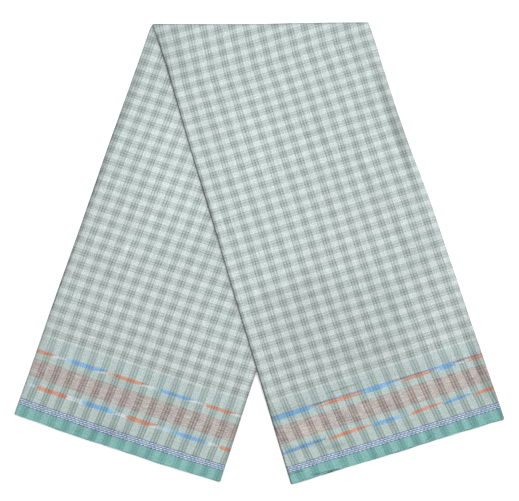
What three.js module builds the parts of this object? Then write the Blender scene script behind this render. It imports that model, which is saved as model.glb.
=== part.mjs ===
// A cotton lungi, folded and laid flat. The cloth's length is halved three times into a strip of eight plies, and the
// strip is doubled over a level fold, so that one leg lies on the other as an upside-down V. Millimetres, with the
// underside at z = 0, the top fold along X at the high-Y end, and the origin under the middle of the pack.
import * as THREE from "three";

// The cloth as it leaves the loom, and how it is folded.
const CLOTH_LENGTH = 2250;
const PLIES = 8;
const STRIP_WIDTH = CLOTH_LENGTH / PLIES;

// The folded strip is a thick flat band. Its outer ply runs round the left side, and six plies lie inside it.
const STRIP_THICKNESS = 5.2;
const WALL = 1.0;
const GAP = 0.3;
const INNER_THICKNESS = STRIP_THICKNESS - 2 * (WALL + GAP);

// The top fold: the level line that both legs leave, and the half turn that the strip makes round it.
const FOLD_LEFT_X = -146.1;
const FOLD_WIDTH = 295.1;
const FOLD_TOP_Y = 307.4;
const TURN_RADIUS = STRIP_THICKNESS + GAP / 2;
const TURN_Y = FOLD_TOP_Y - TURN_RADIUS;
const TURN_ARC = (Math.PI / 2) * TURN_RADIUS;

// Each leg's two long sides, from the top fold to the selvage: how far each side leans out, and how long it is. The
// selvage between them bows out a little in the middle.
const LEGS = {
  under: {
    outwards: -1,
    left: { lean: 18.14, length: 552.1 },
    right: { lean: 17.94, length: 642.6 },
    bow: 2.0,
  },
  over: {
    outwards: 1,
    left: { lean: 16.92, length: 642.0 },
    right: { lean: 17.65, length: 557.3 },
    bow: 0,
  },
};

// Past the under leg's open side, the over leg sinks to the floor across this width.
const DRAPE_START = 8;
const DRAPE_WIDTH = 38;
const DRAPE_RUN_IN = 100; // along the leg below the top fold, before it sinks at all

// The layers inside the outer ply, from the outer face in. Each stands out or back a little at the open side, at the
// top fold and at the selvage, and past the selvage end.
const LAYERS = [
  { sideAtFold: 1.1, sideAtEnd: 0.4, pastEnd: 0.7 },
  { sideAtFold: -0.5, sideAtEnd: 0.9, pastEnd: -0.6 },
  { sideAtFold: 0.7, sideAtEnd: -0.7, pastEnd: 1.0 },
  { sideAtFold: -0.2, sideAtEnd: 0.5, pastEnd: 0.1 },
];
const LAYER_GROOVE = 1.2; // how far the cloth is set back between two layers

const COLOURS = { check: 0xbcc8c4, layers: 0x9fb0ab, fold: 0xb4c1bc };

const { degToRad, lerp, smoothstep } = THREE.MathUtils;

// The strip's sides meet the top fold here: side 0 is the folded left side, side 1 the open right side.
const foldX = (side) => FOLD_LEFT_X + side * FOLD_WIDTH;

// Where a side of a leg ends, at the selvage.
function endOfSide(leg, side) {
  const { lean, length } = side === 0 ? leg.left : leg.right;
  const angle = degToRad(lean);
  return {
    x: foldX(side) + leg.outwards * length * Math.sin(angle),
    y: FOLD_TOP_Y - length * Math.cos(angle),
  };
}

// The straight line down a leg at a share of its width: the point where it leaves the turn, its end at the selvage,
// and how far it leans for each millimetre down.
function lineDown(leg, side) {
  const left = endOfSide(leg, 0);
  const right = endOfSide(leg, 1);
  const end = { x: lerp(left.x, right.x, side), y: lerp(left.y, right.y, side) };
  const slope = (end.x - foldX(side)) / (TURN_Y - end.y + TURN_ARC);
  const start = { x: foldX(side) + slope * TURN_ARC, y: TURN_Y };
  return { start, end, slope };
}

// A point of the plan on a leg: across in millimetres from its folded side, along as a share of the way down, and
// past as millimetres beyond that.
function planPoint(leg, across, along, past) {
  const side = across / STRIP_WIDTH;
  const { start, end, slope } = lineDown(leg, side);
  const bowed = leg.bow * 4 * side * (1 - side) * along;
  const step = (past + bowed) / Math.hypot(slope, 1);
  return {
    x: lerp(start.x, end.x, along) + slope * step,
    y: lerp(start.y, end.y, along) - step,
  };
}

// How far a point of the plan lies outside the under leg's open side.
function pastUnderLeg({ x, y }) {
  const { start, end } = lineDown(LEGS.under, 1);
  const length = Math.hypot(end.x - start.x, end.y - start.y);
  return ((end.x - start.x) * (y - start.y) - (end.y - start.y) * (x - start.x)) / length;
}

// The height that the over leg's underside lies at: on the under leg, or on the floor past it.
function bedHeight(plan) {
  const sunk = smoothstep(pastUnderLeg(plan), DRAPE_START, DRAPE_START + DRAPE_WIDTH);
  const clearOfTurn = smoothstep(TURN_Y - plan.y, 0, DRAPE_RUN_IN);
  return (STRIP_THICKNESS + GAP) * (1 - sunk * clearOfTurn);
}

// The three stretches of the strip. Each takes a point of its section (how far across from the folded side, how far
// beside that in the rounding, and how deep in from the outer face), a share of the way along the stretch and the
// millimetres past that, and places it. The rounding is as high as the place that it springs from.
const STRETCHES = {
  under_leg({ across, beside, depth }, along, past) {
    const plan = planPoint(LEGS.under, across + beside, along, past);
    return [plan.x, plan.y - GAP * (1 - along), depth];
  },
  over_leg({ across, beside, depth }, along, past) {
    const plan = planPoint(LEGS.over, across + beside, along, past);
    const bed = bedHeight(planPoint(LEGS.over, across, along, 0));
    return [plan.x, plan.y - GAP * (1 - along), bed + STRIP_THICKNESS - depth];
  },
  top_fold({ across, beside, depth }, along) {
    const turn = (along - 0.5) * Math.PI;
    const radius = TURN_RADIUS - depth;
    const side = (across + beside) / STRIP_WIDTH;
    const leg = turn < 0 ? LEGS.under : LEGS.over;
    const shift = lineDown(leg, side).slope * TURN_RADIUS * Math.abs(turn);
    return [foldX(side) + shift, TURN_Y + radius * Math.cos(turn), TURN_RADIUS + radius * Math.sin(turn)];
  },
};

// A closed block with a grid on each of its six faces. pointAt takes the three grid numbers and gives [x, y, z].
// Each cell is split along its higher diagonal, so that faces that lie on each other are split alike.
function block(countU, countV, countW, pointAt) {
  const counts = [countU, countV, countW];
  const positions = [];
  const triangles = [];
  const numbered = new Map();
  const vertex = (cell) => {
    const key = cell.join();
    if (!numbered.has(key)) {
      numbered.set(key, positions.length / 3);
      positions.push(...pointAt(...cell));
    }
    return numbered.get(key);
  };
  const height = (number) => positions[3 * number + 2];
  for (const axis of [0, 1, 2]) {
    const [first, second] = [(axis + 1) % 3, (axis + 2) % 3];
    for (const level of [0, counts[axis]]) {
      for (let i = 0; i < counts[first]; i++) {
        for (let j = 0; j < counts[second]; j++) {
          const corner = (di, dj) => {
            const cell = [];
            cell[axis] = level;
            cell[first] = i + di;
            cell[second] = j + dj;
            return vertex(cell);
          };
          const [a, b, c, d] = [corner(0, 0), corner(1, 0), corner(1, 1), corner(0, 1)];
          const split = height(a) + height(c) < height(b) + height(d) ? [a, b, d, b, c, d] : [a, b, c, a, c, d];
          triangles.push(...(level ? split : split.reverse()));
        }
      }
    }
  }
  const geometry = new THREE.BufferGeometry();
  geometry.setAttribute("position", new THREE.Float32BufferAttribute(positions, 3));
  geometry.setIndex(signedVolume(positions, triangles) < 0 ? triangles.reverse() : triangles);
  return geometry;
}

function signedVolume(positions, triangles) {
  const corner = (vertex) => new THREE.Vector3().fromArray(positions, 3 * vertex);
  let sum = 0;
  for (let i = 0; i < triangles.length; i += 3) {
    const [a, b, c] = triangles.slice(i, i + 3).map(corner);
    sum += a.dot(b.cross(c)) / 6;
  }
  return sum;
}

// Both sections have the same columns: from the middle of the rounded folded side to the open side.
const columnAcross = (share) => lerp(STRIP_THICKNESS / 2, STRIP_WIDTH, share);

// The outer ply in section: across the outer face to the folded side, round it and back across the inner face.
const TURN_STEPS = 6;

function outerPly(step, within, countAcross) {
  const reach = STRIP_THICKNESS / 2 - WALL * within;
  const turned = THREE.MathUtils.clamp((step - countAcross) / TURN_STEPS, 0, 1);
  const column = step < countAcross ? countAcross - step : Math.max(0, step - countAcross - TURN_STEPS);
  return {
    across: columnAcross(column / countAcross),
    beside: -reach * Math.sin(Math.PI * turned),
    depth: STRIP_THICKNESS / 2 - reach * Math.cos(Math.PI * turned),
  };
}

// A layer's edge stands out or back at the open side and past the selvage end, with a groove between two layers.
const LAYER_STEPS = 2 * LAYERS.length;

function layerEdge(step, along) {
  if (step % 2 === 0) {
    return { side: -LAYER_GROOVE, end: -LAYER_GROOVE };
  }
  const { sideAtFold, sideAtEnd, pastEnd } = LAYERS[(step - 1) / 2];
  return { side: lerp(sideAtFold, sideAtEnd, along), end: pastEnd };
}

// The layers inside, in section: rounded at the folded side, and each with its own edge at the open side.
function innerLayers(column, step, countAcross, along) {
  const level = step / LAYER_STEPS;
  const openEdge = column === countAcross ? layerEdge(step, along).side - WALL : 0;
  const bulge = (INNER_THICKNESS / 2) * Math.sqrt(1 - (2 * level - 1) ** 2);
  return {
    across: columnAcross(column / countAcross) + openEdge,
    beside: column === 0 ? -bulge : 0,
    depth: WALL + GAP + INNER_THICKNESS * level,
  };
}

function mesh(name, geometry, colour) {
  const material = new THREE.MeshStandardMaterial({ color: colour, roughness: 0.9, metalness: 0 });
  const made = new THREE.Mesh(geometry, material);
  made.name = name;
  return made;
}

// Both nodes of a stretch: its outer ply and the layers inside it.
function stretch(name, { countAcross, countAlong, endsAtSelvage, colour }) {
  const place = STRETCHES[name];
  const cloth = block(2 * countAcross + TURN_STEPS, 1, countAlong, (step, within, row) =>
    place(outerPly(step, within, countAcross), row / countAlong, 0),
  );
  const layers = block(countAcross, LAYER_STEPS, countAlong, (column, step, row) => {
    const along = row / countAlong;
    const past = endsAtSelvage && along === 1 ? layerEdge(step, along).end : 0;
    return place(innerLayers(column, step, countAcross, along), along, past);
  });
  return [mesh(`${name}_cloth`, cloth, colour), mesh(`${name}_layers`, layers, COLOURS.layers)];
}

const lungi = new THREE.Group();
lungi.add(
  ...stretch("under_leg", { countAcross: 6, countAlong: 8, endsAtSelvage: true, colour: COLOURS.check }),
  ...stretch("top_fold", { countAcross: 8, countAlong: 10, endsAtSelvage: false, colour: COLOURS.fold }),
  ...stretch("over_leg", { countAcross: 24, countAlong: 20, endsAtSelvage: true, colour: COLOURS.check }),
);

export default lungi;
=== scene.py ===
"""A checked cotton lungi with woven borders, folded into a strip of eight plies and doubled over, lying flat.

The sizes are in millimetres and repeat those of the part's source. Points turn into metres where a mesh is
made.
"""

import math

import bpy
import numpy as np
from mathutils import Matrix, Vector


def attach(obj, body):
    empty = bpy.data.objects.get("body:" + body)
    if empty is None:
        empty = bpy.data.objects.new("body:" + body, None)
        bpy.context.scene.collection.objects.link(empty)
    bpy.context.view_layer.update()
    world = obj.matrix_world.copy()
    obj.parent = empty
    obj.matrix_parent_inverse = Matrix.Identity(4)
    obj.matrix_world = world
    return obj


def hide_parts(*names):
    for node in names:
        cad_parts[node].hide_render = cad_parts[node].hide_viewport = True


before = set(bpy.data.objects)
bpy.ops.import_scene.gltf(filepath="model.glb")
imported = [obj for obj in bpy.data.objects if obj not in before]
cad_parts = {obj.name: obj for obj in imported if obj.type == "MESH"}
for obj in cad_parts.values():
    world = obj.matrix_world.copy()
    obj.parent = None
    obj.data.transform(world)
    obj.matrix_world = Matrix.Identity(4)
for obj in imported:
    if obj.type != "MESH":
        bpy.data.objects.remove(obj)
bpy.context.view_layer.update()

# ---------- Sizes ----------

# The folded strip, as in the part's source.
STRIP_WIDTH = 281.25
STRIP_THICKNESS = 5.2
GAP = 0.3
FOLD_LEFT_X = -146.1
FOLD_WIDTH = 295.1
FOLD_TOP_Y = 307.4
TURN_RADIUS = STRIP_THICKNESS + GAP / 2
TURN_Y = FOLD_TOP_Y - TURN_RADIUS
TURN_ARC = math.pi / 2 * TURN_RADIUS
LEGS = {
    "under": {"outwards": -1, "left": (18.14, 552.1), "right": (17.94, 642.6), "bow": 2.0},
    "over": {"outwards": 1, "left": (16.92, 642.0), "right": (17.65, 557.3), "bow": 0.0},
}
DRAPE_START = 8.0
DRAPE_WIDTH = 38.0
DRAPE_RUN_IN = 100.0

# The cloth, and its eight plies. Ply 8 is the outer face of the strip and ply 1 the inner face.
CLOTH = 0.3
FOLD_DEPTH = STRIP_THICKNESS / 2  # the plies turn round this depth at the folded left side
OUTER_RADIUS = FOLD_DEPTH - CLOTH / 2
FIRST_LOOP = {"depth": 4.0, "radius": 1.05}  # joins ply 1 to ply 4 at the open side
LAST_LOOP = {"depth": 0.5, "radius": 0.35}  # joins ply 8 to ply 7
TUCKED = 12.0  # how far plies 4 and 7 are made before the layers inside take over

# The weave, measured on the cloth: the check's repeats, and how far from the selvage its first stripes lie.
WEFT_REPEAT = 19.17
WARP_REPEAT = 15.84
BORDER = 114.7
PATTERN_WIDTH = 2 * BORDER + 61 * WARP_REPEAT
TOP_FOLD = {"at_left": 550.7, "at_right": 635.4}  # how far up the cloth it turns over the top fold

# The cloth is a little skewed: how far the weft stripes wander, by the distance from the under leg's selvage.
WEFT_DRIFT = [
    (0, 11.7),
    (22, 13.2),
    (68, 15.9),
    (118, 16.6),
    (228, 18.6),
    (308, 21.6),
    (428, 26.7),
    (488, 28.0),
    (548, 28.8),
    (652, 38.6),
    (1012, 38.4),
    (1082, 36.8),
    (1132, 30.9),
    (1200, 22.0),
]
# How much closer together the weft stripes lie towards the selvages, as a share of their distance.
WEFT_GATHER = [
    (0, 0.017),
    (40, 0.0135),
    (100, 0.009),
    (180, 0.008),
    (260, 0.0),
    (1075, 0.0),
    (1115, 0.007),
    (1195, 0.010),
]

# ---------- The lie of the strip ----------


def smooth(value, low, high):
    """0 below low, 1 above high, and a soft step between them."""
    share = np.clip((value - low) / (high - low), 0, 1)
    return share * share * (3 - 2 * share)


def end_of_side(leg, side):
    """Where a side of a leg ends, at the selvage: side 0 is the folded left, side 1 the open right."""
    lean, length = leg["left"] if side == 0 else leg["right"]
    angle = math.radians(lean)
    x = FOLD_LEFT_X + side * FOLD_WIDTH + leg["outwards"] * length * math.sin(angle)
    return x, FOLD_TOP_Y - length * math.cos(angle)


def line_down(leg, share):
    """The straight line down a leg at a share of its width: its start at the turn, its end and its slope."""
    left = end_of_side(leg, 0)
    right = end_of_side(leg, 1)
    end_x = left[0] + (right[0] - left[0]) * share
    end_y = left[1] + (right[1] - left[1]) * share
    fold_x = FOLD_LEFT_X + FOLD_WIDTH * share
    slope = (end_x - fold_x) / (TURN_Y - end_y + TURN_ARC)
    return fold_x + slope * TURN_ARC, end_x, end_y, slope


def length_down(leg, share):
    """The length of that line, from the turn to the selvage."""
    start_x, end_x, end_y, _ = line_down(leg, share)
    return np.hypot(end_x - start_x, end_y - TURN_Y)


def plan_point(leg, across, along, past):
    """A point of the plan on a leg: across from its folded side, a share of the way along, and past that."""
    share = across / STRIP_WIDTH
    start_x, end_x, end_y, slope = line_down(leg, share)
    step = (past + leg["bow"] * 4 * share * (1 - share) * along) / np.hypot(slope, 1)
    x = start_x + (end_x - start_x) * along + slope * step
    y = TURN_Y + (end_y - TURN_Y) * along - step
    return x, y


def bed_height(x, y):
    """The height that the over leg lies at: on the under leg, or on the floor past its open side."""
    start_x, end_x, end_y, _ = line_down(LEGS["under"], 1.0)
    run_x = end_x - start_x
    run_y = end_y - TURN_Y
    past_under = (run_x * (y - TURN_Y) - run_y * (x - start_x)) / math.hypot(run_x, run_y)
    darker_at_stripes = smooth(past_under, DRAPE_START, DRAPE_START + DRAPE_WIDTH)
    return (STRIP_THICKNESS + GAP) * (1 - darker_at_stripes * smooth(TURN_Y - y, 0, DRAPE_RUN_IN))


def on_leg(name, across, beside, depth, along, past):
    """Points of the strip on a leg. The rounding, beside, is as high as the place that it springs from."""
    leg = LEGS[name]
    x, y = plan_point(leg, across + beside, along, past)
    if name == "under":
        return x, y, depth + 0 * x
    bed = bed_height(*plan_point(leg, across, along, 0.0))
    return x, y, bed + STRIP_THICKNESS - depth


def in_turn(across, beside, depth, angle):
    """Points of the strip where it turns over: -90 degrees at the under leg, 90 degrees at the over leg."""
    share = (across + beside) / STRIP_WIDTH
    leg = LEGS["under"] if angle < 0 else LEGS["over"]
    shift = line_down(leg, share)[3] * TURN_RADIUS * abs(angle)
    radius = TURN_RADIUS - depth
    x = FOLD_LEFT_X + FOLD_WIDTH * share + shift
    return x, TURN_Y + radius * math.cos(angle), TURN_RADIUS + radius * math.sin(angle)


# Soft creases. A row is a crease's start and end in plan, its width and its height, below 0 for a trough.
CREASES = [
    ((-5, -30), (62, -52), 9, -0.35),
    ((30, 120), (95, 40), 14, 0.25),
    ((120, 200), (150, 90), 16, -0.22),
    ((60, -130), (210, -95), 12, 0.22),
    ((-240, -60), (-150, -95), 12, 0.25),
    ((-190, 60), (-140, 10), 10, -0.25),
    ((-120, -180), (-60, -205), 11, 0.2),
    ((85, -215), (150, -200), 3.5, -0.3),
]


def crease_relief(x, y):
    """The height that the creases add at points of the plan."""
    total = np.zeros_like(x)
    for (start_x, start_y), (end_x, end_y), width, height in CREASES:
        run_x = end_x - start_x
        run_y = end_y - start_y
        length = math.hypot(run_x, run_y)
        along = ((x - start_x) * run_x + (y - start_y) * run_y) / length
        aside = ((x - start_x) * run_y - (y - start_y) * run_x) / length
        inside = smooth(along, 0, 0.3 * length) * (1 - smooth(along, 0.7 * length, length))
        total += height * inside * np.exp(-((aside / width) ** 2))
    return total


def settle(x, y, z):
    """The pressed cloth's slight waves and creases. They grow with height, so no ply runs into another."""
    waves = 0.12 * np.sin(x / 31 + y / 57) + 0.10 * np.sin(y / 23 - x / 71 + 1.3)
    waves += 0.07 * np.sin(x / 13.5 - y / 19 + 0.6)
    lifted = z + (waves + crease_relief(x, y)) * smooth(z, 0.2, 4.5)
    # The top fold runs down a little to the left, and the open side there is drawn in a little.
    low_end = 2.4 * smooth(y, 150, 300) * (1 - smooth(x, -20, 160))
    drawn_in = 2.2 * smooth(y, 20, 190) * smooth(x, 95, 180)
    return x + 0.22 * np.sin(y / 29 + 0.4) - drawn_in, y + 0.22 * np.sin(x / 37) - low_end, lifted


# ---------- Sections of the strip ----------


OPEN_COLUMNS = 7  # the columns of a flat ply nearest the open side


def flat_columns():
    """Places across a flat ply, closer together at both sides."""
    near = np.linspace(FOLD_DEPTH, 12, 5)
    middle = np.linspace(12, STRIP_WIDTH - 20, 54)
    far = np.linspace(STRIP_WIDTH - 20, STRIP_WIDTH - 2, OPEN_COLUMNS + 1)
    return np.concatenate([near, middle[1:], far[1:]])


def section(across, beside, depth, cloth_u, ply):
    """One run of a section: its points as columns of an array."""
    columns = np.broadcast_arrays(across, beside, depth, cloth_u, ply)
    return np.stack([np.asarray(c, float) for c in columns])


def round_the_fold(radius, steps):
    """A ply's turn round the folded side, from the upper face down."""
    angle = np.linspace(0, math.pi, steps + 2)[1:-1]
    depth = FOLD_DEPTH + radius * np.cos(angle)
    return section(FOLD_DEPTH, -radius * np.sin(angle), depth, FOLD_DEPTH * np.cos(angle), 0)


def loop(shape, steps):
    """A ply's turn at the open side: where it springs from, how far it bulges out, and its rise."""
    angle = np.linspace(0, math.pi, steps + 2)[1:-1]
    spring = STRIP_WIDTH - CLOTH / 2 - shape["radius"]
    return spring, shape["radius"] * np.sin(angle), shape["radius"] * np.cos(angle)


def outer_section():
    """The outer cloth: the tucked end of ply 4, ply 1, the folded side, ply 8 and the tucked end of ply 7."""
    flats = flat_columns()
    spring, bulge, rise = loop(FIRST_LOOP, 7)
    looped = STRIP_WIDTH + 1.5 * (STRIP_WIDTH - spring - bulge)
    tucked = np.linspace(STRIP_WIDTH - TUCKED, spring, 4)
    runs = [
        section(tucked, 0, FIRST_LOOP["depth"] - FIRST_LOOP["radius"], 2 * STRIP_WIDTH - tucked, 4),
        section(spring, bulge, FIRST_LOOP["depth"] - rise, looped, 1),
        section(flats[::-1], 0, FOLD_DEPTH + OUTER_RADIUS, flats[::-1], 1),
    ]
    spring, bulge, rise = loop(LAST_LOOP, 5)
    tucked = np.linspace(spring, STRIP_WIDTH - TUCKED, 4)
    runs += [
        round_the_fold(OUTER_RADIUS, 13),
        section(flats, 0, FOLD_DEPTH - OUTER_RADIUS, -flats, 8),
        section(spring, bulge, LAST_LOOP["depth"] + rise, -STRIP_WIDTH, 8),
        section(tucked, 0, LAST_LOOP["depth"] + LAST_LOOP["radius"], tucked - 2 * STRIP_WIDTH, 7),
    ]
    return np.concatenate(runs, axis=1)


# How far each ply's selvage stands past the end of a leg, or short of it: first the turn at the folded side,
# and then plies 1 to 8.
PLY_ENDS = {
    "under": (0.0, -0.4, -0.8, 0.5, -0.4, -1.1, 0.3, -0.6, -0.9),
    "over": (0.0, -0.9, -0.3, -1.2, 0.4, -0.7, 0.5, -1.0, -0.5),
}


def open_edge_shift(ply, along, over):
    """How far the cloth near the open side lies out or back. It differs from ply to ply and along the leg."""
    phase = 1.7 * ply + (2.1 if over else 0.0)
    sway = 0.45 * np.sin(along * 9.5 + phase) + 0.3 * np.sin(along * 23 + 2.3 * phase)
    lower = ply >= 5 if not over else ply <= 4
    stands_out = 0.5 if over else 0.2
    inset = 0.3 if over else 0.7 + 0.6 * smooth(along, 0.92, 1.0)
    return sway - inset + np.where(lower, stands_out * smooth(along, 0.05, 0.3), 0.0)


BOWED_IN = 0.9
BOWED_UP = 1.0  # how far the over leg's folded side bows in and stands up, at the most


def folded_edge_bow(across, along):
    """How bowed the over leg's folded side is at a point: below the top fold it bows in and stands up."""
    bow = np.exp(-(((along - 0.085) / 0.065) ** 2)) * smooth(along, 0, 0.05)
    return bow * (1 - smooth(across, 0, 55))


def end_shift(ply, across, over):
    """How far a ply's selvage stands past the leg's end. It wavers, and the over leg's corner stands out."""
    ends = PLY_ENDS["over" if over else "under"]
    base = np.interp(ply, range(len(ends)), ends)
    waver = 0.35 * np.sin(across / 17 + ply) + 0.25 * np.sin(across / 7.3 + 2 * ply)
    corner = smooth(across, STRIP_WIDTH - 12, STRIP_WIDTH)
    return base + waver + (0.8 * corner if over else -0.3 * corner)


def weft_place(cloth_u, v):
    """Where a point of the cloth lies among the weft stripes."""
    drift = np.interp(v, *zip(*WEFT_DRIFT))
    gather = np.interp(v, *zip(*WEFT_GATHER))
    # Part of the way up the over leg, the stripes near its open side lie a little nearer to it.
    pulled = 1.6 * smooth(-cloth_u, 170, 260) * np.exp(-(((v - 806) / 55) ** 2))
    return cloth_u * (1 + gather) - drift + pulled


def cloth_v(name, across, along):
    """The cloth's own coordinate, from the under leg's selvage round the top fold to the over leg's."""
    share = across / STRIP_WIDTH
    under = length_down(LEGS["under"], share)
    over = length_down(LEGS["over"], share)
    turn = 2 * TURN_ARC * 1.05
    spare = PATTERN_WIDTH - over - turn - under
    if name == "under":
        up = (1 - along) * under
        bowed = 1.1 * smooth(across, 0, 120) * smooth(up, 60, 115)
        bowed += 1.0 * smooth(across, 60, 170) * smooth(up, 150, 250)
        raised = 1.3 * smooth(up, 370, 490) * smooth(along, 0, 0.1)
        return up + raised - bowed + (spare + bowed) * smooth(1 - along, 0.6, 1.0)
    if name == "over":
        up = (1 - along) * over
        skewed = (1.3 - 2.4 * smooth(across, 110, 260)) * smooth(up, 180, 340) * smooth(along, 0, 0.16)
        return PATTERN_WIDTH - up - skewed - 1.4 * smooth(up, 30, 50) * (1 - smooth(up, 78, 95))
    return under + spare + turn * along


class Rows:
    """The rows of a stretch: which part of the strip each row lies on, and how far along it is."""

    def __init__(self, stretch):
        seam = 0.01
        if stretch == "top_fold":
            turn = np.linspace(0, 1, 27)
            self.rows = [("under", seam), ("under", seam / 2)]
            self.rows += [("turn", share) for share in turn]
            self.rows += [("over", seam / 2), ("over", seam)]
        else:
            spread = np.concatenate([np.linspace(seam, 0.975, 158), np.linspace(0.98, 1, 7)])
            self.rows = [(stretch.split("_")[0], along) for along in spread]

    def place(self, columns):
        """Points and cloth coordinates, rows by columns, for the columns of a section."""
        across, beside, depth, cloth_u, ply = columns
        near_open = smooth(across, STRIP_WIDTH - 45, STRIP_WIDTH - 8)
        points = []
        weave = []
        for name, along in self.rows:
            over = name == "over" or (name == "turn" and along > 0.5)
            leg_along = along if name != "turn" else 0.0
            moved = across + near_open * open_edge_shift(ply, leg_along, over)
            if name == "turn":
                point = in_turn(moved, beside, depth, (along - 0.5) * math.pi)
            else:
                past = end_shift(ply, across + beside, over) * smooth(along, 0.95, 1.0)
                bow = folded_edge_bow(across, along) if over else 0.0
                x, y, z = on_leg(name, moved + BOWED_IN * bow, beside, depth, along, past)
                point = x, y, z + BOWED_UP * bow
            v = cloth_v(name, np.clip(across, 0, STRIP_WIDTH), along)
            points.append(np.stack(settle(*point), axis=-1))
            weave.append(np.stack([weft_place(cloth_u, v), v, cloth_u], axis=-1))
        return np.array(points), np.array(weave)


# ---------- Meshes ----------


def make_mesh(name, points, faces, weave):
    """A mesh object from points in millimetres, with the cloth's own coordinates kept as an attribute."""
    mesh = bpy.data.meshes.new(name)
    mesh.from_pydata((points * 0.001).tolist(), [], faces.tolist())
    mesh.attributes.new("weave", "FLOAT_VECTOR", "POINT")
    mesh.attributes["weave"].data.foreach_set("vector", weave.astype(np.float32).ravel())
    mesh.shade_smooth()
    mesh.set_sharp_from_angle(angle=math.radians(55))
    made = bpy.data.objects.new(name, mesh)
    bpy.context.scene.collection.objects.link(made)
    return made


def grid_faces(numbers):
    """The quads of a grid of vertex numbers."""
    corners = [numbers[:-1, :-1], numbers[1:, :-1], numbers[1:, 1:], numbers[:-1, 1:]]
    return np.stack(corners, axis=-1).reshape(-1, 4)


def thick_sheet(name, points, weave):
    """A grid of points made into cloth with a thickness: two faces and a rim."""
    run_down = np.gradient(points, axis=0)
    run_across = np.gradient(points, axis=1)
    normal = np.cross(run_down, run_across)
    normal /= np.linalg.norm(normal, axis=-1, keepdims=True)
    numbers = np.arange(points.shape[0] * points.shape[1]).reshape(points.shape[:2])
    back = numbers + numbers.size
    faces = [grid_faces(numbers), grid_faces(back)[:, ::-1]]
    border = np.concatenate([numbers[0, :], numbers[1:, -1], numbers[-1, -2::-1], numbers[-2:0:-1, 0]])
    following = np.roll(border, -1)
    faces.append(np.stack([border, following, following + numbers.size, border + numbers.size], axis=-1))
    both = np.concatenate([points + normal * CLOTH / 2, points - normal * CLOTH / 2]).reshape(-1, 3)
    return make_mesh(name, both, np.concatenate(faces), np.concatenate([weave.reshape(-1, 3)] * 2))


def block_faces(numbers):
    """The six sides of a block of vertex numbers, as quads."""
    sides = []
    for axis in range(3):
        moved = np.moveaxis(numbers, axis, 0)
        sides.append(grid_faces(moved[0]))
        sides.append(grid_faces(moved[-1])[:, ::-1])
    return sides


# The plies inside, from the innermost pair out: how far from the fold's middle depth each pair lies.
INNER_PAIRS = [
    {"radius": 0.35, "upper": 4, "lower": 5},
    {"radius": 1.05, "upper": 3, "lower": 6},
    {"radius": 1.75, "upper": 2, "lower": 7},
]
PAIR_DRIFT = 7.3  # how far the stripes of each pair lie past those of the pair inside it
GROOVE = 2.6  # how far the layers are set back between two plies
GROOVE_LEVELS = (-0.42, -0.28)  # from the middle of the ply outside it
# A ply's rounded edge: levels from the ply's middle, and how far back the edge lies there.
ROUNDED_EDGE = [(-0.15, 0.14), (-0.09, 0.03), (0.09, 0.03), (0.15, 0.14)]
# Where each ply's edge lies from the open side: plies 4 and 7 meet the outer cloth's tucked ends there.
EDGES_INSIDE = {2: -1.4, 3: -1.4, 4: -TUCKED - 1, 5: -1.6, 6: -0.9, 7: -TUCKED - 1}


def inner_levels():
    """Levels through the inner plies: radius, pair, how far back the edge is, and whether it is a groove."""
    levels = []
    for number, pair in enumerate(INNER_PAIRS):
        if number:
            levels += [(pair["radius"] + offset, number, 0.0, True) for offset in GROOVE_LEVELS]
        levels += [(pair["radius"] + offset, number, back, False) for offset, back in ROUNDED_EDGE]
    return levels


def inner_section(level):
    """The section of one level: over the upper plies, round the folded side and back below."""
    radius, number, rounding, groove = level
    pair = INNER_PAIRS[number]
    flats = flat_columns()[:-OPEN_COLUMNS]
    set_back = GROOVE if groove else 0
    # Plies 2 and 3 are one fold at the open side, so no groove parts them.
    upper_back = -0.35 if groove and number == 2 else set_back
    upper_edge = STRIP_WIDTH + EDGES_INSIDE[pair["upper"]] - rounding - upper_back
    lower_edge = STRIP_WIDTH + EDGES_INSIDE[pair["lower"]] - rounding - set_back
    upper = np.append(flats, upper_edge)[::-1]
    lower = np.append(flats, lower_edge)
    runs = [
        section(upper, 0, FOLD_DEPTH + radius, upper + PAIR_DRIFT * number, pair["upper"]),
        round_the_fold(radius, 7),
        section(lower, 0, FOLD_DEPTH - radius, -lower - PAIR_DRIFT * number, pair["lower"]),
    ]
    return np.concatenate(runs, axis=1)


def inner_plies(name, rows, ends_at_selvage):
    """The plies inside as one solid, folded round the left side, with their edges showing as layers."""
    points = []
    weave = []
    for level in inner_levels():
        placed, cloth = rows.place(inner_section(level))
        _, _, rounding, groove = level
        back = GROOVE if groove else rounding
        if ends_at_selvage:
            run = placed[-1] - placed[-3]
            placed[-1] -= run / np.linalg.norm(run, axis=-1, keepdims=True) * back
        points.append(placed)
        weave.append(cloth)
    points = np.array(points)
    numbers = np.arange(points[..., 0].size).reshape(points.shape[:3])
    faces = np.concatenate(block_faces(numbers))
    used, faces = np.unique(faces, return_inverse=True)
    faces = faces.reshape(-1, 4)
    return make_mesh(name, points.reshape(-1, 3)[used], faces, np.array(weave).reshape(-1, 3)[used])


# ---------- Materials ----------


def colour(red, green, blue):
    """A colour on the screen, from 0 to 255, as the light that a shader works with."""

    def light(value):
        value /= 255
        return value / 12.92 if value <= 0.04045 else ((value + 0.055) / 1.055) ** 2.4

    return (light(red), light(green), light(blue), 1.0)


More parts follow.
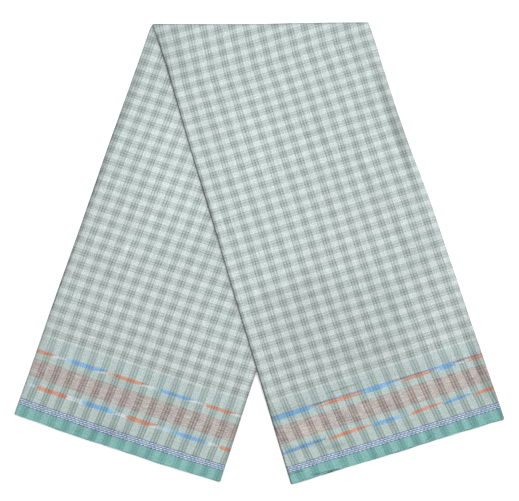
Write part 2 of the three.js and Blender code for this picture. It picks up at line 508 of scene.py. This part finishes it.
class Graph:
    """Short calls that add nodes to a material."""

    def __init__(self, name):
        self.material = bpy.data.materials.new(name)
        self.material.use_nodes = True
        self.tree = self.material.node_tree
        self.shader = self.tree.nodes["Principled BSDF"]

    def put(self, socket, value):
        if isinstance(value, bpy.types.NodeSocket):
            self.tree.links.new(value, socket)
        elif value is not None:
            socket.default_value = value

    def math(self, operation, *values, clamp=False):
        node = self.tree.nodes.new("ShaderNodeMath")
        node.operation = operation
        node.use_clamp = clamp
        for socket, value in zip(node.inputs, values):
            self.put(socket, value)
        return node.outputs[0]

    def add(self, first, second, clamp=False):
        return self.math("ADD", first, second, clamp=clamp)

    def subtract(self, first, second):
        return self.math("SUBTRACT", first, second)

    def multiply(self, first, second):
        return self.math("MULTIPLY", first, second)

    def divide(self, first, second):
        return self.math("DIVIDE", first, second)

    def step(self, value, low, high):
        """0 below low, 1 above high, soft between them."""
        node = self.tree.nodes.new("ShaderNodeMapRange")
        node.interpolation_type = "SMOOTHSTEP"
        self.put(node.inputs["Value"], value)
        self.put(node.inputs["From Min"], low)
        self.put(node.inputs["From Max"], high)
        return node.outputs["Result"]

    def fall(self, value, low, high):
        """1 below low, 0 above high, soft between them."""
        return self.subtract(1.0, self.step(value, low, high))

    def band(self, value, low, high, soft):
        """1 between low and high, and 0 outside them."""
        rise = self.step(value, low - soft, low + soft)
        fall = self.step(value, high - soft, high + soft)
        return self.subtract(rise, fall)

    def mix(self, share, first, second):
        node = self.tree.nodes.new("ShaderNodeMix")
        node.data_type = "RGBA"
        colours = [socket for socket in node.inputs if socket.type == "RGBA"]
        self.put(node.inputs[0], share)
        self.put(colours[0], first)
        self.put(colours[1], second)
        return next(socket for socket in node.outputs if socket.type == "RGBA")

    def ramp(self, value, stops):
        """Colours by value: stops are (place from 0 to 1, colour)."""
        node = self.tree.nodes.new("ShaderNodeValToRGB")
        elements = node.color_ramp.elements
        while len(elements) > 1:
            elements.remove(elements[0])
        elements[0].position, elements[0].color = stops[0]
        for place, tint in stops[1:]:
            elements.new(place).color = tint
        self.put(node.inputs["Fac"], value)
        return node.outputs["Color"]

    def join(self, x, y, z=0.0):
        node = self.tree.nodes.new("ShaderNodeCombineXYZ")
        for socket, value in zip(node.inputs, (x, y, z)):
            self.put(socket, value)
        return node.outputs[0]

    def noise(self, vector, scale, detail=2.0):
        node = self.tree.nodes.new("ShaderNodeTexNoise")
        self.put(node.inputs["Vector"], vector)
        node.inputs["Scale"].default_value = scale
        node.inputs["Detail"].default_value = detail
        return node.outputs["Fac"]


# Yarn colours. A cloth's colour is part its warp yarn's and part its weft yarn's.
YARN = {
    "white": colour(182, 191, 190),
    "dark": colour(86, 100, 96),
    "mint": colour(146, 166, 160),
    "upper mint": colour(153, 172, 169),
    "teal": colour(96, 158, 154),
    "brown": colour(136, 89, 85),
    "cream": colour(176, 157, 149),
    "navy": colour(36, 50, 110),
    "lilac": colour(116, 144, 174),
    "chalk": colour(216, 224, 232),
    "orange": colour(192, 108, 71),
    "pale orange": colour(196, 142, 116),
    "blue": colour(82, 145, 200),
    "sky": colour(66, 148, 192),
    "pale sky": colour(122, 174, 204),
    "violet": colour(120, 98, 124),
    "bleached": colour(192, 199, 205),
}

# How dark the yarns are, by the distance from the middle of a stripe group: three lines, and lighter yarns
# between them.
WEFT_GROUP = [(0.0, 0.84), (0.7, 0.82), (1.1, 0.34), (2.9, 0.30), (3.2, 0.74), (4.4, 0.72), (4.9, 0.0)]
WARP_GROUP = [(0.0, 0.76), (0.7, 0.72), (1.1, 0.40), (2.6, 0.34), (2.9, 0.60), (4.1, 0.54), (4.7, 0.0)]

# The border's warp yarns, by the distance from the selvage.
BORDER_BANDS = [
    (0.0, "teal"),
    (14.2, "navy"),
    (14.9, "lilac"),
    (21.8, "navy"),
    (22.5, "mint"),
    (53.3, "brown"),
    (75.8, "mint"),
    (90.0, "upper mint"),
    (107.0, "white"),
]
BORDER_SPAN = 120.0
YARN_SPACING = 0.42  # from the middle of one yarn to the next

# The ikat lines' dyed and bleached strands, one table for each. A row is a place across the leg from its
# folded side, the strand's lower and upper edge above the selvage there, and its yarn. Edges that meet leave
# a gap.
UNDER_LOWER_WHITE = [
    (0, 40.0, 44.0, "pale sky"),
    (13, 40.2, 44.0, "bleached"),
    (16, 42.0, 42.0, "bleached"),
    (56, 42.0, 42.0, "bleached"),
    (59, 39.8, 45.2, "bleached"),
    (80, 40.0, 45.4, "bleached"),
    (84, 42.0, 42.0, "bleached"),
    (119, 42.0, 42.0, "bleached"),
    (124, 40.6, 45.0, "bleached"),
    (138, 41.0, 44.8, "bleached"),
    (144, 42.0, 42.0, "bleached"),
    (170, 39.8, 39.8, "bleached"),
    (182, 40.2, 45.0, "bleached"),
    (206, 40.4, 45.2, "pale sky"),
    (212, 42.0, 42.0, "bleached"),
    (242, 42.0, 42.0, "bleached"),
    (249, 40.6, 44.8, "bleached"),
    (262, 40.8, 44.6, "bleached"),
    (267, 42.0, 42.0, "bleached"),
]
UNDER_LOWER_DYED = [
    (17, 41.5, 41.5, "orange"),
    (19, 39.1, 44.7, "orange"),
    (56, 39.7, 45.4, "orange"),
    (60, 42.5, 42.5, "orange"),
    (76, 42.5, 42.5, "pale sky"),
    (79, 40.0, 45.6, "pale sky"),
    (87, 39.8, 45.9, "blue"),
    (110, 39.8, 46.0, "blue"),
    (114, 40.0, 46.0, "sky"),
    (123, 40.8, 45.8, "pale sky"),
    (127, 43.5, 43.5, "pale sky"),
    (137, 43.0, 43.0, "pale orange"),
    (140, 40.5, 45.6, "pale orange"),
    (147, 39.8, 46.0, "orange"),
    (169, 39.8, 46.0, "orange"),
    (183, 45.4, 45.6, "orange"),
    (202, 43.0, 43.0, "pale sky"),
    (205, 40.3, 45.4, "pale sky"),
    (213, 40.0, 45.6, "blue"),
    (235, 40.0, 45.4, "blue"),
    (241, 40.3, 45.2, "sky"),
    (249, 41.5, 44.6, "pale sky"),
    (252, 43.0, 43.0, "pale sky"),
    (263, 43.0, 43.0, "pale orange"),
    (268, 39.5, 44.8, "orange"),
    (282, 39.3, 44.6, "orange"),
]
UNDER_UPPER_WHITE = [
    (18, 83.8, 83.8, "bleached"),
    (27, 84.4, 87.2, "bleached"),
    (34, 85.4, 88.4, "bleached"),
    (46, 84.6, 89.2, "pale sky"),
    (52, 87.0, 87.0, "pale sky"),
    (80, 84.2, 84.2, "bleached"),
    (92, 84.8, 87.6, "bleached"),
    (101, 86.2, 89.0, "pale orange"),
    (108, 87.5, 87.5, "pale orange"),
    (138, 84.8, 84.8, "bleached"),
    (150, 85.4, 88.2, "bleached"),
    (160, 85.8, 89.2, "bleached"),
    (172, 86.2, 89.4, "pale sky"),
    (176, 87.0, 87.0, "pale sky"),
    (204, 85.0, 85.0, "bleached"),
    (215, 85.8, 88.2, "bleached"),
    (225, 86.4, 88.8, "bleached"),
    (234, 87.4, 87.4, "bleached"),
    (262, 84.4, 84.4, "bleached"),
    (273, 84.8, 87.4, "bleached"),
    (282, 85.6, 87.8, "bleached"),
]
UNDER_UPPER_DYED = [
    (0, 83.2, 88.4, "orange"),
    (14, 83.8, 88.7, "orange"),
    (34, 88.8, 88.9, "orange"),
    (41, 87.0, 87.0, "pale sky"),
    (45, 84.6, 89.4, "pale sky"),
    (53, 84.3, 90.2, "blue"),
    (80, 84.4, 90.4, "blue"),
    (101, 90.0, 90.2, "sky"),
    (103, 88.0, 88.0, "pale orange"),
    (110, 85.1, 89.9, "orange"),
    (138, 85.0, 90.1, "orange"),
    (155, 89.8, 89.9, "orange"),
    (166, 88.0, 88.0, "pale sky"),
    (174, 85.5, 90.3, "blue"),
    (203, 85.5, 90.2, "blue"),
    (224, 90.0, 90.1, "sky"),
    (228, 88.0, 88.0, "pale orange"),
    (235, 85.0, 89.6, "orange"),
    (262, 84.8, 89.5, "orange"),
    (280, 89.2, 89.3, "orange"),
]
OVER_LOWER_DYED = [
    (0, 39.0, 40.6, "sky"),
    (10, 39.4, 43.2, "blue"),
    (22, 39.9, 44.2, "blue"),
    (45, 41.0, 44.9, "blue"),
    (60, 43.2, 44.2, "sky"),
    (60.5, 40.2, 41.1, "pale orange"),
    (70, 40.0, 43.4, "orange"),
    (80, 40.2, 44.7, "orange"),
    (100, 41.0, 45.1, "orange"),
    (118, 43.0, 44.0, "orange"),
    (118.5, 40.4, 41.3, "pale sky"),
    (126, 40.0, 44.8, "blue"),
    (148, 40.4, 44.8, "blue"),
    (158, 41.2, 44.6, "pale sky"),
    (167, 42.4, 43.6, "pale sky"),
    (167.5, 40.2, 41.2, "pale orange"),
    (175, 40.4, 43.8, "orange"),
    (186, 41.0, 44.9, "orange"),
    (203, 42.0, 45.1, "orange"),
    (213, 43.2, 44.2, "orange"),
    (213.5, 40.4, 41.3, "sky"),
    (221, 40.3, 43.6, "sky"),
    (233, 41.0, 45.1, "blue"),
    (243, 42.2, 45.0, "blue"),
    (252, 43.3, 44.2, "sky"),
    (252.5, 40.6, 41.5, "pale orange"),
    (262, 40.4, 43.7, "orange"),
    (273, 40.2, 44.7, "orange"),
    (282, 40.2, 44.9, "orange"),
]
OVER_UPPER_FIRST = [
    (0, 86.9, 89.0, "violet"),
    (9, 86.7, 89.4, "blue"),
    (48, 86.8, 89.4, "blue"),
    (57, 87.4, 89.1, "violet"),
    (76, 87.7, 89.0, "violet"),
    (96, 87.8, 89.0, "violet"),
    (112, 87.5, 89.2, "violet"),
    (122, 86.8, 89.4, "blue"),
    (156, 86.8, 89.4, "blue"),
    (166, 87.4, 89.1, "violet"),
    (206, 87.8, 89.0, "violet"),
    (212, 87.0, 89.4, "blue"),
    (238, 86.9, 89.5, "blue"),
    (247, 87.3, 89.3, "violet"),
    (262, 87.8, 89.2, "violet"),
    (282, 88.2, 89.0, "violet"),
]
OVER_UPPER_SECOND = [
    (0, 84.6, 85.4, "sky"),
    (10, 83.5, 87.0, "sky"),
    (45, 83.9, 87.2, "sky"),
    (61, 85.0, 86.0, "pale sky"),
    (61.5, 84.1, 84.9, "pale orange"),
    (74, 84.0, 87.2, "orange"),
    (92, 83.8, 87.6, "orange"),
    (108, 84.3, 87.2, "orange"),
    (121, 84.8, 85.6, "orange"),
    (121.5, 84.3, 85.1, "sky"),
    (130, 83.7, 87.2, "sky"),
    (146, 84.0, 87.2, "blue"),
    (160, 84.6, 87.0, "pale sky"),
    (171, 85.4, 86.3, "pale sky"),
    (171.5, 84.0, 84.8, "pale orange"),
    (181, 84.2, 87.2, "orange"),
    (200, 84.4, 87.7, "orange"),
    (216, 85.2, 86.2, "orange"),
    (216.5, 83.9, 84.9, "bleached"),
    (226, 83.9, 86.8, "sky"),
    (233, 83.6, 88.6, "blue"),
    (242, 84.3, 88.2, "sky"),
    (249, 84.8, 86.8, "bleached"),
    (257, 85.0, 86.0, "bleached"),
    (257.5, 84.4, 85.3, "pale orange"),
    (267, 84.2, 87.2, "orange"),
    (275, 83.9, 88.1, "orange"),
    (282, 83.9, 88.6, "orange"),
]
IKAT_STRANDS = [
    {"far": 0, "base": 36.0, "rows": UNDER_LOWER_WHITE, "spread": 0.0},
    {"far": 0, "base": 36.0, "rows": UNDER_LOWER_DYED, "spread": -0.2},
    {"far": 0, "base": 80.0, "rows": UNDER_UPPER_WHITE, "spread": 0.1},
    {"far": 0, "base": 80.0, "rows": UNDER_UPPER_DYED, "spread": -0.2},
    {"far": 1, "base": 36.0, "rows": OVER_LOWER_DYED, "spread": 0.4},
    {"far": 1, "base": 80.0, "rows": OVER_UPPER_SECOND, "spread": 0.1},
    {"far": 1, "base": 80.0, "rows": OVER_UPPER_FIRST, "spread": 0.2},
]
IKAT_SPAN = 12.0  # the height above its base that a strand's edges are a share of
IKAT_COVER = 0.72  # how much the warp covers the weft in a strand
IKAT_SOFT = 0.35  # half the width of a strand's soft edge
LEG_SPAN = 282.0  # the width across a leg that places are a share of


def strand_edges(strand, low, high):
    """A strand's edges as shares of the span above its base. Edges that meet are made to cross, for a gap."""
    outwards = strand["spread"] if high - low > 0.2 else -IKAT_SOFT
    low_share = (low - outwards - strand["base"]) / IKAT_SPAN
    high_share = (high + outwards - strand["base"]) / IKAT_SPAN
    return low_share, high_share, 0.0, 1.0


def add_ikat(graph, warp, cover, place, height, far, weft_dark):
    """Lays the ikat strands over the warp. Gives its new colour and how much it covers the weft."""
    share_across = graph.divide(place, LEG_SPAN)
    shadow = graph.multiply(weft_dark, 0.16)
    for strand in IKAT_STRANDS:
        rows = strand["rows"]
        tints = [(across / LEG_SPAN, YARN[name]) for across, _, _, name in rows]
        edges = [(across / LEG_SPAN, strand_edges(strand, low, high)) for across, low, high, _ in rows]
        tint = graph.mix(shadow, graph.ramp(share_across, tints), YARN["dark"])
        edge = graph.tree.nodes.new("ShaderNodeSeparateColor")
        graph.put(edge.inputs[0], graph.ramp(share_across, edges))
        spot = graph.divide(graph.subtract(height, strand["base"]), IKAT_SPAN)
        above = graph.subtract(spot, edge.outputs["Red"])
        below = graph.subtract(edge.outputs["Green"], spot)
        soft = IKAT_SOFT / IKAT_SPAN
        inside = graph.step(graph.math("MINIMUM", above, below), -soft, soft)
        side = far if strand["far"] else graph.subtract(1.0, far)
        inside = graph.multiply(inside, side)
        warp = graph.mix(inside, warp, tint)
        lift = graph.subtract(IKAT_COVER, cover)
        cover = graph.add(cover, graph.multiply(inside, lift))
    return warp, cover


# The rope band's rows of slanting dashes: the first row's height, where its dashes start, how long a share of
# the repeat they are, and how thick.
ROPE_PITCH = 2.55
ROPE_REPEAT = 5.4
ROPE_SLANT = 0.30
ROPE_SHIFT = 0.37  # how far each row starts past the one below, as a share of the repeat
DASH_START = 0.06
ROPE_ROWS = [
    {"first": 14.35, "offset": 0.46, "length": 0.74, "thick": 0.66, "yarn": "navy"},
    {"first": 15.55, "offset": 0.0, "length": 0.62, "thick": 0.52, "yarn": "chalk"},
]


def rope_band(graph, warp, across, height):
    """White and navy dashes that all slant, like a laid rope."""
    inside = graph.band(height, 13.9, 22.4, 0.15)
    for rows in ROPE_ROWS:
        row = graph.divide(graph.subtract(height, rows["first"]), ROPE_PITCH)
        number = graph.math("ROUND", row)
        off_row = graph.multiply(graph.subtract(row, number), ROPE_PITCH)
        turns = graph.add(graph.divide(across, ROPE_REPEAT), graph.multiply(number, ROPE_SHIFT))
        phase = graph.math("FRACT", graph.add(turns, rows["offset"]))
        middle = DASH_START + rows["length"] / 2
        along = graph.multiply(graph.subtract(phase, middle), ROPE_REPEAT)
        aside = graph.subtract(off_row, graph.multiply(along, ROPE_SLANT))
        away = graph.math("ABSOLUTE", aside)
        thin = graph.fall(away, rows["thick"] - 0.2, rows["thick"])
        dash = graph.band(phase, DASH_START, DASH_START + rows["length"], 0.05)
        shown = graph.multiply(graph.multiply(dash, thin), inside)
        warp = graph.mix(shown, warp, YARN[rows["yarn"]])
    return warp


def group_depth(graph, distance, group, span):
    """How dark a stripe group is at a distance from its middle."""
    stops = [(place / span, (dark, dark, dark, 1.0)) for place, dark in group]
    return graph.ramp(graph.divide(distance, span), stops)


def border_stops():
    """The border's bands as the stops of a ramp, each with a narrow change to the next."""
    stops = [(0.0, YARN[BORDER_BANDS[0][1]])]
    for (_, before), (place, name) in zip(BORDER_BANDS, BORDER_BANDS[1:]):
        stops.append(((place - 0.2) / BORDER_SPAN, YARN[before]))
        stops.append(((place + 0.2) / BORDER_SPAN, YARN[name]))
    return stops


def centred(graph, value, amount):
    """A noise from 0 to 1 made into a change of that amount either way."""
    return graph.multiply(graph.subtract(value, 0.5), amount)


# Painted shade in the sharp creases of the over leg. A row is a crease's start and end, each along the cloth
# from the folded side and up from the selvage, its width and how dark its painted shade is.
SHARP_CREASE_SHADE = [
    ((-70, 97.0), (-126, 98.0), 1.5, 0.34),
    ((-44, 32.0), (-88, 28.5), 6.5, 0.18),
    ((2, 12.4), (-25, 11.6), 1.5, 0.42),
    ((-22, 3.4), (-62, 0.6), 1.6, 0.42),
    ((-48, 0.4), (-66, 0.0), 1.7, 0.75),
    ((-54, 87.5), (-88, 91.0), 1.5, 0.2),
    ((-176, 1.0), (-188, 8.0), 1.5, 0.28),
    ((-268, 20.0), (-273, 112.0), 5.0, 0.22),
]

# Painted shade and painted light where the pressed cloth of each leg rises or sinks a little, in the same
# measures:
# darker, or lighter below 0. A fifth number is how wide the soft edges are, where that is less than the
# width.
OVER_SHADE_AND_LIGHT = [
    ((20, 172), (-250, 158), 84, 0.07, 26),
    ((4, 230), (-150, 246), 13, 0.07),
    ((-82, 143), (-200, 133), 14, 0.09),
    ((-91, 218), (-99, 126), 11, 0.05),
    ((-207, 402), (-223, 288), 10, 0.09),
    ((-221, 306), (-249, 184), 11, 0.09),
    ((-184, 212), (-191, 150), 11, 0.06),
    ((-281, 330), (-281, 520), 18, 0.08),
    ((-269, 300), (-273, 520), 6.5, 0.2, 5),
    ((-279, 455), (-279, 360), 9, 0.15),
    ((-1, 612), (-2, 496), 6.5, 0.12),
    ((-281, 180), (-278, -30), 20, 0.12),
    ((-255, 356), (-266, 200), 11, 0.06),
    ((-234, 580), (-264, 496), 14, 0.07),
    ((0, 450), (0, 322), 9, 0.16),
    ((0, 236), (0, 20), 11, 0.1),
    ((-12, 660), (-26, 530), 24, 0.09),
    ((-165, 606), (-173, 560), 13, 0.08),
    ((-168, 476), (-172, 396), 8, 0.08),
    ((-156, 396), (-157, 364), 7, 0.06),
    ((-78, 70), (-108, 50), 9, 0.15),
    ((-130, 68), (-166, 52), 10, 0.15),
    ((-26, 66), (-60, 54), 10, -0.12),
    ((0, 41), (-68, 43), 7, 0.17),
    ((2, 90), (-62, 89), 14, 0.13),
    ((-40, 450), (-120, 430), 110, -0.04),
    ((10, 94), (-290, 94), 10, 0.05),
    ((20, 30), (-300, 30), 14, 0.03),
]
UNDER_SHADE_AND_LIGHT = [
    ((0, 640), (0, -60), 14, 0.28),
    ((50, 470), (140, 270), 70, -0.07),
    ((42, 236), (72, 192), 9, 0.12),
    ((86, 304), (62, 218), 12, -0.06),
    ((-40, 84), (320, 84), 92, 0.035, 60),
    ((92, 86), (156, 76), 15, 0.06),
    ((180, 132), (190, 44), 11, 0.07),
    ((260, 150), (274, 34), 13, 0.1),
    ((98, 21), (154, 19), 13, 0.12),
]


def crease_shade(graph, crease, along_cloth, height):
    """How dark one row's painted shade is, lighter below 0: most in its middle, and nothing past its ends."""
    (start_u, start_h), (end_u, end_h), width, dark, *edge = crease
    soft = edge[0] if edge else width
    length = math.hypot(end_u - start_u, end_h - start_h)
    run_u = (end_u - start_u) / length
    run_h = (end_h - start_h) / length
    off_u = graph.subtract(along_cloth, start_u)
    off_h = graph.subtract(height, start_h)
    along = graph.add(graph.multiply(off_u, run_u), graph.multiply(off_h, run_h))
    aside = graph.subtract(graph.multiply(off_u, run_h), graph.multiply(off_h, run_u))
    within = graph.band(along, 0.15 * length, 0.85 * length, 0.15 * length)
    near = graph.fall(graph.math("ABSOLUTE", aside), width - soft, width)
    return graph.multiply(graph.multiply(within, near), dark)


def soft_shade(graph, creases, along_cloth, height):
    """How much painted shade a leg has, and painted light where a row is below 0, where its cloth sinks or
    rises.
    """
    total = 0.0
    for crease in creases:
        total = graph.add(total, crease_shade(graph, crease, along_cloth, height))
    return total


def fold_shade(graph, along_cloth, up, height):
    """How much painted shade the cloth has at its folds and sharp creases, and each leg's painted shade and
    light.
    """
    rise = (TOP_FOLD["at_right"] - TOP_FOLD["at_left"]) / STRIP_WIDTH
    top_line = graph.add(TOP_FOLD["at_left"], graph.multiply(graph.math("ABSOLUTE", along_cloth), rise))
    past_top = graph.subtract(up, top_line)
    on_over = graph.step(past_top, 0.0, 1.0)
    # Painted shade along the folded side, deeper on the over leg below the top fold.
    side = graph.fall(graph.math("ABSOLUTE", along_cloth), 1.6, 3.1)
    below_top = graph.step(past_top, 10.0, 30.0)
    shade_and_stripes = graph.multiply(side, graph.add(0.4, graph.multiply(below_top, 0.34)))
    # Painted shade along the open side.
    open_side = graph.multiply(graph.step(along_cloth, STRIP_WIDTH - 2.2, STRIP_WIDTH - 0.6), 0.2)
    shade_and_stripes = graph.math("MAXIMUM", shade_and_stripes, open_side)
    # Painted shade along the top fold.
    top = graph.fall(graph.math("ABSOLUTE", past_top), 4.5, 8.5)
    shade_and_stripes = graph.math("MAXIMUM", shade_and_stripes, graph.multiply(top, 0.32))
    # Painted shade in the over leg's sharp creases.
    for crease in SHARP_CREASE_SHADE:
        dark = graph.multiply(crease_shade(graph, crease, along_cloth, height), on_over)
        shade_and_stripes = graph.math("MAXIMUM", shade_and_stripes, dark)
    # Each leg's painted shade, and painted light where a row is below 0.
    on_under = graph.subtract(1.0, on_over)
    over_shade = graph.multiply(soft_shade(graph, OVER_SHADE_AND_LIGHT, along_cloth, height), on_over)
    under_shade = graph.multiply(soft_shade(graph, UNDER_SHADE_AND_LIGHT, along_cloth, height), on_under)
    return graph.add(shade_and_stripes, graph.add(over_shade, under_shade))


def checked_cotton():
    """The lungi's cloth: warp and weft yarns by the cloth's own coordinates, with the borders."""
    graph = Graph("checked_cotton")
    nodes = graph.tree.nodes
    source = nodes.new("ShaderNodeAttribute")
    source.attribute_name = "weave"
    apart = nodes.new("ShaderNodeSeparateXYZ")
    graph.put(apart.inputs[0], source.outputs["Vector"])
    across, up, along_cloth = apart.outputs
    far = graph.math("GREATER_THAN", up, PATTERN_WIDTH / 2)
    height = graph.math("MINIMUM", up, graph.subtract(PATTERN_WIDTH, up))

    # Every yarn has its own shade and thickness, and runs on for a few centimetres before it changes.
    weft_slub = graph.noise(graph.join(across, graph.divide(up, 26.0)), 1.0)
    warp_slub = graph.noise(graph.join(graph.divide(across, 30.0), graph.divide(up, 0.9), 9.0), 1.0)
    nubs = graph.noise(graph.join(graph.divide(across, 1.15), graph.divide(up, 1.15), 5.0), 1.0)
    broad = graph.noise(graph.join(along_cloth, up), 0.008, detail=3.0)

    # The weft: stripe groups on white, all the way across both borders.
    weft_away = graph.math("PINGPONG", across, WEFT_REPEAT / 2)
    weft_dark = group_depth(graph, weft_away, WEFT_GROUP, WEFT_REPEAT / 2)
    weft = graph.mix(weft_dark, YARN["white"], YARN["dark"])

    # The warp: stripe groups in the check, and coloured bands in the border.
    warp_away = graph.math("PINGPONG", graph.subtract(height, BORDER), WARP_REPEAT / 2)
    warp_dark = group_depth(graph, warp_away, WARP_GROUP, WARP_REPEAT / 2)
    warp_dark = graph.multiply(warp_dark, graph.step(height, BORDER - 7.5, BORDER - 6.5))
    feathered = graph.add(height, centred(graph, warp_slub, 1.0))
    plain = graph.ramp(graph.divide(feathered, BORDER_SPAN), border_stops())
    streak_place = graph.join(graph.divide(along_cloth, 14.0), graph.divide(up, 1.15), 3.0)
    streaks = graph.noise(streak_place, 1.0, detail=3.0)
    in_brown = graph.band(height, 53.8, 75.2, 0.6)
    cream = graph.multiply(graph.step(streaks, 0.43, 0.6), in_brown)
    plain = graph.mix(graph.multiply(cream, 0.95), plain, YARN["cream"])
    plain = rope_band(graph, plain, along_cloth, height)
    warp = graph.mix(warp_dark, plain, YARN["dark"])

    # The warp covers more of the weft in the selvage, in the rope band and in the ikat.
    in_teal = graph.fall(height, 14.0, 14.4)
    in_rope = graph.band(height, 14.1, 22.3, 0.2)
    cover = graph.add(0.5, graph.multiply(in_teal, 0.28))
    cover = graph.add(cover, graph.multiply(in_rope, 0.28))
    place = graph.add(graph.math("PINGPONG", along_cloth, STRIP_WIDTH), centred(graph, warp_slub, 7.0))
    warp, cover = add_ikat(graph, warp, cover, place, height, far, weft_dark)

    # Plain weave: warp and weft yarns take turns on top.
    yarn_turns = math.pi / YARN_SPACING
    weft_wave = graph.math("SINE", graph.multiply(across, yarn_turns))
    warp_wave = graph.math("SINE", graph.multiply(up, yarn_turns))
    on_top = graph.multiply(weft_wave, warp_wave)
    share = graph.add(cover, graph.multiply(on_top, 0.22), clamp=True)
    cloth = graph.mix(share, weft, warp)

    # Shade by yarn, and painted shade where the cloth folds and creases.
    shade = graph.add(centred(graph, weft_slub, 0.65), centred(graph, warp_slub, 0.5))
    shade = graph.add(shade, centred(graph, nubs, 1.8))
    # Painted shade and painted light of the folds, creases and legs.
    shade_and_stripes = fold_shade(graph, along_cloth, up, height)
    # Low in the border, the weft's dark stripes show more than in the check.
    in_border = graph.subtract(graph.step(height, 22.0, 24.0), graph.step(height, 60.0, 104.0))
    striped = graph.multiply(graph.multiply(weft_dark, in_border), 0.12)
    shade_and_stripes = graph.add(shade_and_stripes, striped)
    # In the selvage, the cloth is softly and unevenly darker at those stripes.
    darker_at_stripes = graph.fall(weft_away, 1.0, 8.5)
    uneven = graph.noise(graph.join(graph.divide(along_cloth, 22.0), 0.4, 2.0), 1.0)
    darker_at_stripes = graph.multiply(darker_at_stripes, graph.step(uneven, 0.3, 0.65))
    shade_and_stripes = graph.add(shade_and_stripes, graph.multiply(graph.multiply(darker_at_stripes, in_teal), 0.2))
    shade = graph.multiply(graph.add(shade, 1.0), graph.subtract(1.0, shade_and_stripes))
    bright = nodes.new("ShaderNodeVectorMath")
    bright.operation = "SCALE"
    graph.put(bright.inputs[0], cloth)
    graph.put(bright.inputs["Scale"], shade)
    greener = graph.multiply(graph.step(height, 60.0, 580.0), 0.2)
    greener = graph.add(broad, greener, clamp=True)
    tint = graph.mix(greener, (1.0, 0.985, 0.985, 1.0), (0.965, 1.0, 0.99, 1.0))
    tinted = nodes.new("ShaderNodeVectorMath")
    tinted.operation = "MULTIPLY"
    graph.put(tinted.inputs[0], bright.outputs[0])
    graph.put(tinted.inputs[1], tint)

    graph.put(graph.shader.inputs["Base Color"], tinted.outputs[0])
    graph.put(graph.shader.inputs["Roughness"], graph.add(0.78, graph.multiply(weft_slub, 0.16)))
    graph.shader.inputs["Specular IOR Level"].default_value = 0.25
    graph.shader.inputs["Sheen Weight"].default_value = 0.12
    graph.shader.inputs["Sheen Roughness"].default_value = 0.5

    relief = graph.add(graph.multiply(on_top, 0.4), graph.add(weft_slub, warp_slub))
    bump = nodes.new("ShaderNodeBump")
    bump.inputs["Strength"].default_value = 0.4
    bump.inputs["Distance"].default_value = 0.0002
    graph.put(bump.inputs["Height"], relief)
    graph.put(graph.shader.inputs["Normal"], bump.outputs[0])
    return graph.material


def floor_paper():
    """A plain pale floor."""
    graph = Graph("floor_paper")
    grain = graph.noise(None, 40.0)
    tint = graph.mix(grain, (0.96, 0.96, 0.96, 1.0), (0.98, 0.98, 0.98, 1.0))
    graph.put(graph.shader.inputs["Base Color"], tint)
    graph.shader.inputs["Roughness"].default_value = 0.95
    graph.shader.inputs["Specular IOR Level"].default_value = 0.0
    return graph.material


# ---------- The scene ----------


def make_camera():
    """The photograph's view: from nearly straight above, a little to the front."""
    elevation = math.radians(84.7)
    distance = 0.959
    look_at = Vector((0.0004, -0.0043, 0.0))
    back = Vector((0.0, -math.cos(elevation), math.sin(elevation)))
    data = bpy.data.cameras.new("camera")
    data.lens = 50
    data.sensor_width = 36
    data.clip_start = 0.05
    data.clip_end = 20
    camera = bpy.data.objects.new("camera", data)
    camera.location = look_at + back * distance
    camera.rotation_mode = "QUATERNION"
    camera.rotation_quaternion = (-back).to_track_quat("-Z", "Y")
    bpy.context.scene.collection.objects.link(camera)
    bpy.context.scene.camera = camera


def make_light(name, place, size, power):
    data = bpy.data.lights.new(name, "AREA")
    data.shape = "SQUARE"
    data.size = size
    data.energy = power
    light = bpy.data.objects.new(name, data)
    light.location = place
    light.rotation_mode = "QUATERNION"
    light.rotation_quaternion = (-Vector(place)).to_track_quat("-Z", "Y")
    bpy.context.scene.collection.objects.link(light)


def make_studio(paper):
    """The floor, two soft lights and an even white surround."""
    mesh = bpy.data.meshes.new("floor")
    reach = 3.0
    corners = [(-reach, -reach, 0), (reach, -reach, 0), (reach, reach, 0), (-reach, reach, 0)]
    mesh.from_pydata(corners, [], [(0, 1, 2, 3)])
    mesh.materials.append(paper)
    floor = bpy.data.objects.new("floor", mesh)
    floor.location.z = -0.0002
    bpy.context.scene.collection.objects.link(floor)
    make_light("key_light", (0.12, 0.16, 1.15), 0.7, 11)
    make_light("fill_light", (-1.0, 0.3, 1.9), 1.6, 5)
    world = bpy.data.worlds.new("studio")
    world.use_nodes = True
    background = world.node_tree.nodes["Background"]
    background.inputs["Color"].default_value = (1.0, 1.0, 1.0, 1.0)
    background.inputs["Strength"].default_value = 0.62
    bpy.context.scene.world = world
    bpy.context.scene.view_settings.view_transform = "Standard"
    return floor


def make_stretch(stretch, cotton):
    """The outer cloth and the inner plies of one stretch of the strip."""
    rows = Rows(stretch)
    outer = thick_sheet(f"{stretch}_sheet", *rows.place(outer_section()))
    inner = inner_plies(f"{stretch}_plies", rows, stretch != "top_fold")
    for piece, slot in ((outer, "checked_cotton"), (inner, "inner_layers")):
        piece.data.materials.append(cotton)
        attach(piece, "root")
    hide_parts(f"{stretch}_cloth")
    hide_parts(f"{stretch}_layers")
    return outer, inner


def main():
    make_camera()
    floor = make_studio(floor_paper())
    cotton = checked_cotton()
    lengths = {"under_leg": 600.0, "top_fold": 29.0, "over_leg": 602.0}
    for stretch, length in lengths.items():
        outer, inner = make_stretch(stretch, cotton)


main()
